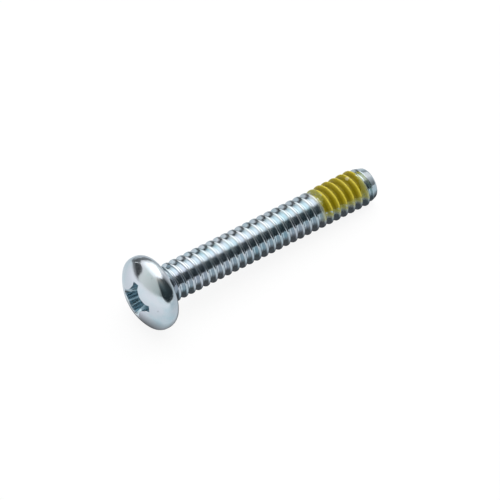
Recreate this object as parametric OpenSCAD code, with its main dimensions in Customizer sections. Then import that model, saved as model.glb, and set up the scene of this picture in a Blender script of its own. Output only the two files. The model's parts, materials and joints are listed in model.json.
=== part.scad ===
// Machine screw with a domed pan head, a cross recess and a locking patch
// of nylon near the tip, lying on its side as it comes to rest on a table.
// Sizes are in millimetres and follow the number 10-24 coarse thread.
// The head is at -X, the tip at +X and the table is the plane Z = 0.

/* [Head] */
// Largest diameter of the head
head_d = 9.15; // [8.9:0.05:9.6]
// Height of the head above its bearing face
head_h = 3.35; // [3.3:0.02:3.6]
// Radius of the domed top
dome_r = 6.5; // [6.2:0.1:7]
// Radius that blends the dome into the side
shoulder_r = 1.05; // [0.8:0.05:1.1]
// Radius that blends the side into the bearing face
under_r = 1.23; // [1.1:0.01:1.4]
// Distance from the side of the head in to the flat bearing face
bearing_inset = 0.32; // [0.25:0.01:0.4]
// Fillet between the bearing face and the neck
fillet_r = 0.36; // [0.34:0.01:0.45]

/* [Drive recess] */
// Distance across the wing tips, where they meet the top of the dome
recess_d = 5.2; // [4.8:0.1:5.4]
// Depth of the recess below the top of the dome
recess_depth = 3; // [2.8:0.05:3.2]
// Width of a wing at the top of the dome
wing_w = 0.95; // [0.8:0.05:1.1]
// Distance between opposite valleys at the top of the dome
valley_d = 2.88; // [2.6:0.02:3]
// Angle between the two faces that meet in a valley
valley_angle = 138; // [130:1:145]
// Lean of the valleys and wing sides towards the axis
wall_taper = 5.75; // [4:0.25:7]
// Slope of the wing tips against the axis
wing_tip_angle = 26.5; // [24:0.5:29]
// Slope of the recess floor against a flat floor
floor_angle = 28; // [20:1:32]
// Turn of the recess about the axis of the screw
recess_turn = -9; // [-45:0.5:45]

/* [Shank] */
// Length from the bearing face to the end of the tip
shank_l = 30.9; // [24:0.1:40]
// Length of the plain neck under the head
neck_l = 0.6; // [0.55:0.05:0.9]
// Length of the lead cone behind the tip
lead_l = 1.5; // [1.2:0.1:2.6]
// Diameter of the flat end
tip_d = 3.7; // [3.6:0.05:4]

/* [Thread] */
// Diameter over the crests
major_d = 4.6; // [4.5:0.05:4.7]
// Diameter where ridge and groove are equally wide
pitch_d = 4.07; // [4:0.01:4.1]
// Diameter at the bottom of the grooves
minor_d = 3.5; // [3.4:0.05:3.6]
// Distance from one crest to the next
pitch = 1.0583; // [1:0.0001:1.1]
// Angle between the two flanks of a groove
flank_angle = 60; // [54:1:64]
// Angle about the axis at which the thread starts
thread_start = 88; // [0:1:359]
// Turns over which the thread rises out of the neck
run_in = 0.3; // [0.3:0.1:0.8]
// Turns over which the last groove fades out at the tip
run_out = 0.4; // [0.3:0.1:0.8]
// Facets in each turn of the thread
turn_steps = 36; // [24:4:40]

/* [Locking patch] */
// Length of the patch along the screw
patch_l = 6.4; // [3:0.1:9]
// Distance from the end of the tip to the patch
patch_setback = 1.5; // [1.5:0.1:4]
// Angle that the patch covers about the axis
patch_arc = 180; // [90:10:270]
// Angle about the axis at the middle of the patch
patch_centre = 162; // [0:1:359]
// Thickness of the nylon over a crest
patch_over_crest = 0.06; // [0.03:0.01:0.1]
// Thickness of the nylon in a groove
patch_in_groove = 0.24; // [0.1:0.02:0.4]
// Share of that thickness left at the edge of the patch
patch_edge_share = 0.3; // [0.2:0.1:0.6]

/* [Hidden] */
$fn = 96;

head_r = head_d / 2;
bearing_r = head_r - bearing_inset;
crest_r = major_d / 2;
pitch_r = pitch_d / 2;
root_r = minor_d / 2;
tip_r = tip_d / 2;

// Each piece is drawn upright about the Z axis, with the bearing face at zero,
// the head below it and the tip above.
dome_z = dome_r - head_h;
shoulder_x = head_r - shoulder_r;
shoulder_z = dome_z - sqrt(pow(dome_r - shoulder_r, 2) - pow(shoulder_x, 2));
under_x = head_r - under_r;
under_z = -sqrt(pow(under_r, 2) - pow(bearing_r - under_x, 2));
// The dome meets the shoulder where both have the same slope.
blend_z = dome_z - (dome_z - shoulder_z) * dome_r / (dome_r - shoulder_r);
// Cutting shapes run this far past the surface that they cut.
overcut = 0.5;

// The blank under the thread is a little thinner than the neck, and starts inside it.
blank_r = pitch_r - 0.03;
blank_z = 0.1;
// Space between the last crest and the flat end
end_gap = 0.05;
// The turns are counted back from the tip, as many as fit under the head.
ridges = floor((shank_l - end_gap - blank_z) / pitch) - 2;
first_z = shank_l - end_gap - (ridges + 1) * pitch;

// Each ridge has four corners: foot, crest, crest and foot.
flank_slope = tan(flank_angle / 2);
crest_half = pitch / 4 - (crest_r - pitch_r) * flank_slope;
foot_half = pitch / 4 + (pitch_r - root_r) * flank_slope;
corner_offset = [-foot_half, -crest_half, crest_half, foot_half];
// A column holds the corners of all ridges at one angle about the axis. It starts at the far
// side of the ridge before the first, and ends at the near side of the one after the last.
column_rows = [
    for (ridge = [-1:ridges], corner = [0:3])
        if ((ridge >= 0 || corner > 1) && (ridge < ridges || corner < 2)) [ridge, corner]
];
row_count = len(column_rows);

function ramp(share) = max(0, min(1, share));

// Radius of the lead cone at a height
function lead_radius(z) = min(crest_r, tip_r + (shank_l - z) * (crest_r - tip_r) / lead_l);

// Share of its full height that a ridge has, that many turns from the start
function ridge_share(turn) = ramp(turn / run_in);

// Share of its full depth that the groove after that ridge has
function groove_share(turn) = ramp((turn + 1) / run_in) * ramp((ridges - turn) / run_out);

function corner_z(column, row) =
    first_z + pitch * (row[0] + column / turn_steps) + corner_offset[row[1]];

function corner_radius(column, row) =
    let (
        turn = row[0] + column / turn_steps,
        limit = lead_radius(corner_z(column, row)),
        plain = turn > ridges / 2 ? limit : blank_r,
        depth = groove_share(row[1] == 0 ? turn - 1 : turn)
    )
    row[1] == 1 || row[1] == 2
        ? min(limit, blank_r + ridge_share(turn) * (crest_r - blank_r))
        : plain - depth * (plain - root_r);

function around(column, radius, z) =
    let (angle = thread_start + 360 * column / turn_steps)
    [radius * cos(angle), radius * sin(angle), z];

function thread_corner(column, row, lift = 0) =
    around(column, corner_radius(column, row) + lift, corner_z(column, row));

// Two triangles on four points of a grid, clockwise as seen from outside
function grid_cell(low_left, high_left, high_right, low_right) =
    [[low_left, high_left, high_right], [low_left, high_right, low_right]];

// The triangles of a patch of grid, for points listed column by column
function grid_faces(columns, rows, first = 0) = [
    for (column = [0:columns - 2], row = [0:rows - 2])
        let (left = first + column * rows + row, right = left + rows)
        each grid_cell(left, left + 1, right + 1, right)
];

function flipped(faces) = [for (face = faces) [face[0], face[2], face[1]]];

// Outline of the head and neck in the half plane beside the axis
module head_outline() {
    // dome
    intersection() {
        translate([0, dome_z]) circle(dome_r);
        translate([0, -head_h - overcut]) square([head_r, blend_z + head_h + overcut]);
    }
    // shoulder
    intersection() {
        translate([shoulder_x, shoulder_z]) circle(shoulder_r);
        translate([shoulder_x, blend_z]) square([shoulder_r + overcut, shoulder_z - blend_z]);
    }
    // core of the head, with the rim between the two rounded corners
    polygon([
        [0, blend_z], [shoulder_x, blend_z], [shoulder_x, shoulder_z], [head_r, shoulder_z],
        [head_r, under_z], [under_x, under_z], [under_x, 0], [0, 0]
    ]);
    // rounded lower corner
    intersection() {
        translate([under_x, under_z]) circle(under_r);
        translate([under_x, under_z]) square([under_r + overcut, -under_z]);
    }
    // neck with its fillet
    square([pitch_r, neck_l]);
    difference() {
        square([pitch_r + fillet_r, fillet_r]);
        translate([pitch_r + fillet_r, fillet_r]) circle(fillet_r);
    }
}

// Cross recess: a cone that holds the wing tips, less the four posts between the wings
module recess() {
    cone_slope = tan(wing_tip_angle);
    top_r = recess_d / 2;
    // the floor's cone meets the wing tips' cone here, measured from the top of the dome
    floor_depth = (recess_depth - top_r * tan(floor_angle)) / (1 - cone_slope * tan(floor_angle));
    floor_r = top_r - floor_depth * cone_slope;
    translate([0, 0, -head_h]) difference() {
        rotate_extrude() polygon([
            [0, -overcut], [top_r + overcut * cone_slope, -overcut],
            [floor_r, floor_depth], [0, recess_depth]
        ]);
        for (quarter = [0:3]) rotate([0, 0, 90 * quarter + 45]) recess_post();
    }
}

// One post between two wings, on the +X side, with its front edge leaning to the axis
module recess_post() {
    valley_r = valley_d / 2;
    // where a valley's face runs into the side of a wing
    face_lean = valley_angle / 2;
    side_gap = valley_r * sin(45) - wing_w / 2;
    face_l = side_gap / sin(face_lean - 45);
    side = [face_l * cos(face_lean), face_l * sin(face_lean)];
    reach = recess_d;
    translate([valley_r, 0, 0]) rotate([0, -wall_taper, 0])
        translate([0, 0, -2 * overcut]) linear_extrude(recess_depth + 4 * overcut) polygon([
            [0, 0], [side[0], -side[1]], [side[0] + reach, -side[1] - reach],
            [side[0] + reach, side[1] + reach], [side[0], side[1]]
        ]);
}

// Blank and thread in one closed skin. The columns stand side by side around the axis, and
// the last meets the first one ridge further on, which makes the thread a helix.
module thread() {
    height = row_count + 2;
    last = (turn_steps - 1) * height;
    points = [
        for (column = [0:turn_steps - 1]) each concat(
            [around(column, blank_r, blank_z)],
            [for (row = column_rows) thread_corner(column, row)],
            [around(column, tip_r, shank_l)]
        )
    ];
    faces = concat(
        grid_faces(turn_steps, height),
        // the seam between the last column and the first
        [
            for (row = [1:row_count - 5])
                each grid_cell(last + row, last + row + 1, row + 5, row + 4)
        ],
        [for (row = [0:4]) [last + 1, row + 1, row]],
        [[last + 1, 0, last]],
        [for (row = [row_count - 4:row_count]) [row_count, last + row, last + row + 1]],
        [[row_count, last + row_count + 1, row_count + 1]],
        // the two flat ends
        [[for (column = [0:turn_steps - 1]) column * height]],
        [[for (column = [turn_steps - 1:-1:0]) column * height + height - 1]]
    );
    polyhedron(points, faces);
}

// Lays a piece down on the rim of the head and the last full crest that faces the table,
// which is on the +X side before the piece is laid down
module lying_down() {
    turn_to_table = 1 - thread_start / 360;
    full_turns = floor((shank_l - lead_l - first_z) / pitch - turn_to_table);
    last_crest_z = first_z + pitch * (full_turns + turn_to_table);
    rim_drop = under_x - crest_r;
    rise = last_crest_z - under_z;
    tilt = atan(rim_drop / rise) + asin(under_r / sqrt(pow(rim_drop, 2) + pow(rise, 2)));
    lift = under_x * cos(tilt) + under_z * sin(tilt) + under_r;
    head_end = dome_z * cos(tilt) - dome_r;
    tip_end = shank_l * cos(tilt) + tip_r * sin(tilt);
    translate([-(head_end + tip_end) / 2, 0, lift]) rotate([0, 90 + tilt, 0]) children();
}

module screw() {
    color([0.75, 0.79, 0.81]) lying_down() {
        difference() {
            rotate_extrude() head_outline();
            rotate([0, 0, recess_turn]) recess();
        }
        thread();
    }
}

// The nylon is fused to the thread, so its inner skin is the thread's own surface.
module locking_patch() {
    step = 360 / turn_steps;
    columns = round(patch_arc / step) + 1;
    first_column = round((patch_centre - patch_arc / 2 - thread_start) / step);
    middle_turns = (first_column + (columns - 1) / 2) / turn_steps;
    near_z = shank_l - patch_setback - patch_l;
    first_ridge = round((near_z - first_z) / pitch - middle_turns);
    ridge_count = round(patch_l / pitch);
    patch_rows = [
        for (ridge = [first_ridge:first_ridge + ridge_count - 1], corner = [0:3]) [ridge, corner]
    ];
    rows = len(patch_rows);
    // thickness falls off over the two outermost steps on every side
    function edge_share(place, count) =
        patch_edge_share + (1 - patch_edge_share) * ramp(min(place, count - 1 - place) / 2);
    function nylon(column, row) =
        (row % 4 == 1 || row % 4 == 2 ? patch_over_crest : patch_in_groove)
            * edge_share(column, columns) * edge_share(row, rows);
    points = [
        for (skin = [0, 1], column = [0:columns - 1], row = [0:rows - 1])
            thread_corner(first_column + column, patch_rows[row], skin * nylon(column, row))
    ];
    outer = columns * rows;
    right = outer - rows;
    faces = concat(
        flipped(grid_faces(columns, rows)),
        grid_faces(columns, rows, outer),
        // the rims on the four sides
        [for (row = [0:rows - 2]) each grid_cell(row, row + 1, outer + row + 1, outer + row)],
        [
            for (row = [right:right + rows - 2])
                each grid_cell(outer + row, outer + row + 1, row + 1, row)
        ],
        [
            for (column = [0:columns - 2])
                let (left = column * rows, next = left + rows)
                each grid_cell(left, outer + left, outer + next, next)
        ],
        [
            for (column = [0:columns - 2])
                let (left = column * rows + rows - 1, next = left + rows)
                each grid_cell(outer + left, left, next, outer + next)
        ]
    );
    color([0.8, 0.74, 0.3]) lying_down() polyhedron(points, faces);
}

screw();
locking_patch();
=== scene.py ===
"""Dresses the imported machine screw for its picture: plated steel, nylon patch, table and studio.

The screw is one closed skin of zinc-plated steel, made of the head with its cross recess and of the
shank with its helical thread. The locking patch is a second skin of nylon that follows the thread.
Both are built upright about the screw's own axis, with the bearing face at zero, the head below it
and the tip above, and are then laid down in the place that the frame's mounts give. Lengths are in
metres, and angles in radians unless a name says otherwise.
"""

import json
import logging
import math
from collections.abc import Callable
from dataclasses import dataclass, field
from enum import Enum

import bmesh
import bpy
import numpy as np
from mathutils import Matrix, Vector


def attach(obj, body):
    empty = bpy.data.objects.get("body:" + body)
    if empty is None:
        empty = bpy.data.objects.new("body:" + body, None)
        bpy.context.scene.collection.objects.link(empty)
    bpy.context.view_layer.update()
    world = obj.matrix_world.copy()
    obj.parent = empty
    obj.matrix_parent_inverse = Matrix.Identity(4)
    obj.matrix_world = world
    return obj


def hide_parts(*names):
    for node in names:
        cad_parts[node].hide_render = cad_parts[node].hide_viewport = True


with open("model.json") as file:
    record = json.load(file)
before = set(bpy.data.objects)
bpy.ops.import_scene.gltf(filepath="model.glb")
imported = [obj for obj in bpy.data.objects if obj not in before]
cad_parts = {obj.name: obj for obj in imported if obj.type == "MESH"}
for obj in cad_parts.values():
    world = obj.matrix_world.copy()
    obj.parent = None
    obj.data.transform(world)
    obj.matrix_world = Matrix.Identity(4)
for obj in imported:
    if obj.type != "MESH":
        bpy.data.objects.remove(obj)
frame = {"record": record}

LOG = logging.getLogger("machine_screw")
MM = 0.001
TURN = 2 * math.pi
PIXELS = 500
ROWS_PER_SIDE = 13

Colour = tuple[float, float, float]
Ring = tuple[np.ndarray, np.ndarray, np.ndarray]


class Number:
    """A number inside a node tree. Arithmetic on it adds the tree's own math nodes."""

    def __init__(self, tree: bpy.types.NodeTree, source: bpy.types.NodeSocket) -> None:
        """Wraps an output socket of the tree."""
        self.tree = tree
        self.source = source

    def _math(self, operation: str, *terms: "Number | float") -> "Number":
        """Adds one math node.

        Args:
            operation: The math node's operation.
            terms: Its inputs, in order.

        Returns:
            The node's result.
        """
        node = self.tree.nodes.new("ShaderNodeMath")
        node.operation = operation
        for socket, term in zip(node.inputs, terms):
            if isinstance(term, Number):
                self.tree.links.new(term.source, socket)
            else:
                socket.default_value = term
        return Number(self.tree, node.outputs[0])

    def __add__(self, other: "Number | float") -> "Number":
        """Sum of two numbers."""
        return self._math("ADD", self, other)

    def __radd__(self, other: float) -> "Number":
        """Sum of two numbers."""
        return self._math("ADD", other, self)

    def __sub__(self, other: "Number | float") -> "Number":
        """Difference of two numbers."""
        return self._math("SUBTRACT", self, other)

    def __rsub__(self, other: float) -> "Number":
        """Difference of two numbers."""
        return self._math("SUBTRACT", other, self)

    def __mul__(self, other: "Number | float") -> "Number":
        """Product of two numbers."""
        return self._math("MULTIPLY", self, other)

    def __rmul__(self, other: float) -> "Number":
        """Product of two numbers."""
        return self._math("MULTIPLY", other, self)

    def __truediv__(self, other: "Number | float") -> "Number":
        """Quotient of two numbers."""
        return self._math("DIVIDE", self, other)

    def size(self) -> "Number":
        """The number without its sign."""
        return self._math("ABSOLUTE", self)

    def whole(self) -> "Number":
        """The largest whole number that isn't above it."""
        return self._math("FLOOR", self)

    def least(self, other: "Number | float") -> "Number":
        """The smaller of two numbers."""
        return self._math("MINIMUM", self, other)

    def most(self, other: "Number | float") -> "Number":
        """The larger of two numbers."""
        return self._math("MAXIMUM", self, other)

    def rounded_least(self, other: "Number | float", width: "Number | float") -> "Number":
        """The smaller of two numbers, with the corner between them rounded over a width."""
        return self._math("SMOOTH_MIN", self, other, width)

    def rounded_most(self, other: "Number | float", width: "Number | float") -> "Number":
        """The larger of two numbers, with the corner between them rounded over a width."""
        return self._math("SMOOTH_MAX", self, other, width)

    def share(self) -> "Number":
        """The number held between zero and one."""
        return self.most(0.0).least(1.0)

    def eased(self) -> "Number":
        """The number held between zero and one, with a soft start and end."""
        held = self.share()
        return held * held * (3.0 - 2.0 * held)

    def cosine(self) -> "Number":
        """Cosine of an angle in radians."""
        return self._math("COSINE", self)

    def sine(self) -> "Number":
        """Sine of an angle in radians."""
        return self._math("SINE", self)

    def root(self) -> "Number":
        """Square root."""
        return self._math("SQRT", self)


@dataclass(frozen=True)
class ScrewAxis:
    """The screw's own axis as it lies on the table: the bearing face's centre and the way to the tip."""

    foot: Vector
    way: Vector

    @classmethod
    def from_record(cls, record: dict) -> "ScrewAxis":
        """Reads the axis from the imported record's bearing face.

        Args:
            record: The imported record.

        Returns:
            The axis in the row frame.
        """
        face = next(mount for mount in record["mounts"] if mount["name"] == "bearing_face")
        return cls(Vector(face["pos_m"]), Vector(face["axis"]).normalized())

    def laid_down(self) -> Matrix:
        """Matrix that lays an upright piece down on the table.

        Returns:
            The matrix, which turns the piece about the Y axis and moves it to its place.
        """
        side = Vector((self.way.z, 0.0, -self.way.x))
        turn = Matrix((side, Vector((0.0, 1.0, 0.0)), self.way)).transposed().to_4x4()
        return Matrix.Translation(self.foot) @ turn


@dataclass(frozen=True)
class ThreadForm:
    """Sizes of the coarse right-hand thread and of the blank that it is rolled on."""

    pitch: float = 25.4 * MM / 24
    crest_radius: float = 2.3 * MM
    pitch_radius: float = 2.035 * MM
    root_radius: float = 1.75 * MM
    flank_degrees: float = 60.0
    crest_rounding: float = 0.16 * MM
    root_rounding: float = 0.2 * MM
    shank_length: float = 30.9 * MM
    lead_length: float = 1.5 * MM
    tip_radius: float = 1.85 * MM
    tip_rounding: float = 0.3 * MM
    end_gap: float = 0.05 * MM
    start_degrees: float = 88.0
    ridges: int = 27
    run_in: float = 0.3
    run_out: float = 0.4
    columns: int = 90

    @property
    def first_crest(self) -> float:
        """Height of the first crest above the bearing face, at the thread's start angle."""
        return self.shank_length - self.end_gap - (self.ridges + 1) * self.pitch

    @property
    def flank_rise(self) -> float:
        """Fall of a flank's radius for each step along the axis."""
        return 1 / math.tan(math.radians(self.flank_degrees / 2))

    def row_shares(self) -> list[tuple[float, float]]:
        """Spreads the rows of one pitch so that they crowd at the rounded corners.

        Returns:
            Pairs of the row's share of all rows and its share of the pitch, root to root.
        """
        crest_half = 0.25 - (self.crest_radius - self.pitch_radius) / self.flank_rise / self.pitch
        foot_half = 0.25 + (self.pitch_radius - self.root_radius) / self.flank_rise / self.pitch
        crest_bend = self.crest_rounding / self.flank_rise / self.pitch
        foot_bend = self.root_rounding / self.flank_rise / self.pitch
        last_bend = 0.49
        stops = [
            (0, 0.0),
            (1, crest_half - crest_bend),
            (5, crest_half + crest_bend),
            (8, foot_half - foot_bend),
            (12, min(foot_half + foot_bend, last_bend)),
            (ROWS_PER_SIDE, 0.5),
        ]
        far = [(0.5 + row / ROWS_PER_SIDE / 2, 0.5 + place) for row, place in stops]
        near = [(1 - row, 1 - place) for row, place in far[:0:-1]]
        return near + far


@dataclass(frozen=True)
class SheetSpan:
    """The stretch of thread that one sheet covers, counted in shares of a turn and in ridges."""

    first_share: float
    last_share: float
    columns: int
    first_ridge: int
    ridge_count: int


class ThreadSheet:
    """Builds a sheet that follows the thread's surface, by a tree of geometry nodes."""

    def __init__(self, name: str, form: ThreadForm, foot: float) -> None:
        """Makes an empty tree with the thread's sizes as named inputs.

        Args:
            name: Name of the tree.
            form: The thread's sizes.
            foot: Height at which the sheet stops in a plain circle.
        """
        self.form = form
        self.tree = bpy.data.node_groups.new(name, "GeometryNodeTree")
        self.tree.interface.new_socket(
            "Geometry", in_out="OUTPUT", socket_type="NodeSocketGeometry"
        )
        self.entry = self.tree.nodes.new("NodeGroupInput")
        self.values: dict[str, float | int] = {}
        self.identifiers: dict[str, str] = {}
        self.add_inputs(
            {
                "Pitch": form.pitch,
                "Crest radius": form.crest_radius,
                "Pitch radius": form.pitch_radius,
                "Root radius": form.root_radius,
                "Flank rise": form.flank_rise,
                "Crest rounding": form.crest_rounding,
                "Root rounding": form.root_rounding,
                "Shank length": form.shank_length,
                "Lead length": form.lead_length,
                "Tip radius": form.tip_radius,
                "Tip rounding": form.tip_rounding,
                "First crest": form.first_crest,
                "Start angle": math.radians(form.start_degrees),
                "Ridge count": float(form.ridges),
                "Run in": form.run_in,
                "Run out": form.run_out,
                "Sheet foot": foot,
            }
        )

    def add_inputs(self, sizes: dict[str, float | int]) -> None:
        """Adds named inputs to the tree.

        Args:
            sizes: The value that the modifier gives each input, by name.
        """
        for name, value in sizes.items():
            kind = "NodeSocketInt" if isinstance(value, int) else "NodeSocketFloat"
            socket = self.tree.interface.new_socket(name, in_out="INPUT", socket_type=kind)
            self.values[name] = value
            self.identifiers[name] = socket.identifier

    def input(self, name: str) -> Number:
        """Gives a named input as a number."""
        return Number(self.tree, self.entry.outputs[name])

    def node(
        self, kind: str, **links: Number | bpy.types.NodeSocket | bpy.types.ID | float
    ) -> bpy.types.Node:
        """Adds a node and fills its inputs.

        Args:
            kind: The node's type.
            links: Values by input name, with underscores for blanks.

        Returns:
            The new node.
        """
        made = self.tree.nodes.new(kind)
        for key, value in links.items():
            socket = made.inputs[key.replace("_", " ")]
            if isinstance(value, Number):
                self.tree.links.new(value.source, socket)
            elif isinstance(value, bpy.types.NodeSocket):
                self.tree.links.new(value, socket)
            else:
                socket.default_value = value
        return made

    def grid(self, span: SheetSpan) -> tuple[bpy.types.NodeSocket, Number, Number, Number]:
        """Adds a flat grid that later becomes the sheet.

        Args:
            span: The stretch of thread that the sheet covers.

        Returns:
            The grid, its share of a turn, its ridge and its place within the pitch of that ridge.
        """
        rows = span.ridge_count * ROWS_PER_SIDE * 2
        self.add_inputs(
            {
                "Columns": span.columns + 1,
                "Rows": rows + 1,
                "First share": span.first_share,
                "Last share": span.last_share,
                "First ridge": float(span.first_ridge),
                "Sheet ridges": float(span.ridge_count),
            }
        )
        flat = self.node(
            "GeometryNodeMeshGrid",
            Size_X=1.0,
            Size_Y=1.0,
            Vertices_X=self.input("Columns"),
            Vertices_Y=self.input("Rows"),
        )
        position = self.tree.nodes.new("GeometryNodeInputPosition")
        parts = self.node("ShaderNodeSeparateXYZ", Vector=position.outputs[0])
        across = Number(self.tree, parts.outputs["X"]) + 0.5
        along = Number(self.tree, parts.outputs["Y"]) + 0.5
        turn_share = self.input("First share") + across * (
            self.input("Last share") - self.input("First share")
        )
        # A row that stands on the line between two pitches may fall to either side of it.
        nudge = 1e-4
        rows_up = along * self.input("Sheet ridges")
        ridge = (rows_up + nudge).whole()
        spread = self.node("ShaderNodeFloatCurve", Value=(rows_up - ridge).share())
        curve = spread.mapping.curves[0]
        stops = self.form.row_shares()
        for (place, height), point in zip((stops[0], stops[-1]), curve.points):
            point.location = (place, height)
        for place, height in stops[1:-1]:
            curve.points.new(place, height)
        for point in curve.points:
            point.handle_type = "VECTOR"
        spread.mapping.update()
        place = Number(self.tree, spread.outputs[0]) - 0.5
        return flat.outputs["Mesh"], turn_share, ridge + self.input("First ridge"), place

    def radius(self, turns: Number, place: Number, height: Number) -> Number:
        """Works out the steel's radius.

        Args:
            turns: Turns of the thread up to this height.
            place: Share of the pitch from the nearest crest.
            height: Height above the bearing face.

        Returns:
            The radius of the steel there.
        """
        crest, blank = self.input("Crest radius"), self.input("Pitch radius")
        flank = blank + (0.25 - place.size()) * self.input("Pitch") * self.input("Flank rise")
        full = flank.rounded_least(crest, self.input("Crest rounding"))
        full = full.rounded_most(self.input("Root radius"), self.input("Root rounding"))
        risen = (turns / self.input("Run in")).eased()
        dug = ((turns + 0.5) / self.input("Run in")).eased()
        body = blank + (full - blank).most(0.0) * risen + (full - blank).least(0.0) * dug
        cone = self.input("Tip radius") + (self.input("Shank length") - height) * (
            crest - self.input("Tip radius")
        ) / self.input("Lead length")
        limit = cone.least(crest)
        kept = ((self.input("Ridge count") + 0.5 - turns) / self.input("Run out")).share()
        return limit - (limit - body).most(0.0) * kept

    def wrapped(
        self, flat: bpy.types.NodeSocket, turn_share: Number, ridge: Number, place: Number,
        lift: Number | float,
    ) -> bpy.types.NodeSocket:
        """Wraps the flat grid round the axis.

        Args:
            flat: The grid.
            turn_share: Share of a turn from the thread's start.
            ridge: Number of the ridge.
            place: Share of the pitch from that ridge's crest.
            lift: How far the sheet stands off the steel.

        Returns:
            The wrapped sheet.
        """
        turns = ridge + turn_share + place
        height = self.input("First crest") + turns * self.input("Pitch")
        steel = self.radius(turns, place, height)
        # Past the end the sheet turns inward over the flat tip, and closes on the axis.
        past = (height - self.input("Shank length")).rounded_most(0.0, self.input("Tip rounding"))
        closing = self.input("Pitch") * 0.9
        inward = (1.0 - past / closing).share()
        radius = (steel + lift) * inward
        level = height.rounded_least(self.input("Shank length"), self.input("Tip rounding"))
        level = level.most(self.input("Sheet foot"))
        angle = self.input("Start angle") + turn_share * TURN
        spot = self.node(
            "ShaderNodeCombineXYZ", X=radius * angle.cosine(), Y=radius * angle.sine(), Z=level
        )
        moved = self.node("GeometryNodeSetPosition", Geometry=flat, Position=spot.outputs[0])
        return moved.outputs[0]

    def finish(self, skin: bpy.types.NodeSocket, material: bpy.types.Material) -> None:
        """Welds the skin's seams, smooths it and dresses it.

        Args:
            skin: The skin with its seams still open.
            material: The finish that it gets.
        """
        weld = 2e-4 * MM
        joined = self.node("GeometryNodeMergeByDistance", Geometry=skin, Distance=weld)
        smooth = self.node("GeometryNodeSetShadeSmooth", Geometry=joined.outputs[0])
        real = self.node("GeometryNodeRealizeInstances", Geometry=smooth.outputs[0])
        dressed = self.node(
            "GeometryNodeSetMaterial", Geometry=real.outputs[0], Material=material
        )
        leave = self.tree.nodes.new("NodeGroupOutput")
        self.tree.links.new(dressed.outputs[0], leave.inputs[0])

    def made(self, name: str) -> bpy.types.Mesh:
        """Runs the tree.

        Args:
            name: Name of the mesh.

        Returns:
            The finished mesh, without its modifier.
        """
        carrier = placed(name, bpy.data.meshes.new(name + "_seed"))
        modifier = carrier.modifiers.new("thread", "NODES")
        modifier.node_group = self.tree
        for size_name, identifier in self.identifiers.items():
            modifier[identifier] = self.values[size_name]
        graph = bpy.context.evaluated_depsgraph_get()
        mesh = bpy.data.meshes.new_from_object(carrier.evaluated_get(graph), depsgraph=graph)
        bpy.data.objects.remove(carrier)
        mesh.name = name
        return mesh


@dataclass(frozen=True)
class CrossRecess:
    """The cross recess in the top of the head, measured down from the top of the dome."""

    tip_radius: float = 2.6 * MM
    depth: float = 3.0 * MM
    wing_width: float = 0.95 * MM
    valley_radius: float = 1.44 * MM
    valley_degrees: float = 138.0
    taper_degrees: float = 5.75
    tip_degrees: float = 26.5
    floor_degrees: float = 28.0
    turn_degrees: float = -9.0
    valley_softness: float = 0.3
    valley_rounding: float = 0.22 * MM
    tip_rounding: float = 0.1 * MM
    floor_rounding: float = 0.08 * MM

    def wall(self, angle: np.ndarray, depth: np.ndarray) -> np.ndarray:
        """Radius of the recess wall.

        Args:
            angle: Angle about the axis, from the middle of a wing.
            depth: Depth below the top of the dome.

        Returns:
            The radius at which a ray from the axis meets the wall.
        """
        quarter = TURN / 4
        from_wing = np.abs((angle + quarter / 2) % quarter - quarter / 2)
        from_valley = quarter / 2 - from_wing
        lean = math.tan(math.radians(self.taper_degrees))
        valley = self.valley_radius - depth * lean
        half_width = self.wing_width / 2 - depth * lean * math.sin(quarter / 2)
        slope = 1 / math.tan(math.radians(self.valley_degrees / 2))
        sideways = np.hypot(np.sin(from_valley), self.valley_softness) - self.valley_softness
        face = valley / (np.cos(from_valley) - slope * sideways)
        side = half_width / np.maximum(np.sin(from_wing), 1e-3)
        tip = self.tip_radius - depth * math.tan(math.radians(self.tip_degrees))
        flank = rounded_most(face, np.minimum(side, 2 * self.tip_radius), self.valley_rounding)
        return -rounded_most(-flank, -tip, self.tip_rounding)

    def floor(self, radius: np.ndarray) -> np.ndarray:
        """Depth of the recess floor below the top of the dome, at a radius."""
        slope = math.tan(math.radians(self.floor_degrees))
        return self.depth - slope * (np.hypot(radius, self.floor_rounding) - self.floor_rounding)


def rounded_most(first: np.ndarray, second: np.ndarray, width: float) -> np.ndarray:
    """The larger of two arrays, with the corner between them rounded.

    Args:
        first: The first array.
        second: The second array.
        width: Difference below which the corner is rounded.

    Returns:
        The rounded maximum.
    """
    near = np.maximum(width - np.abs(first - second), 0) / width
    return np.maximum(first, second) + near**3 * width / 6


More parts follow.
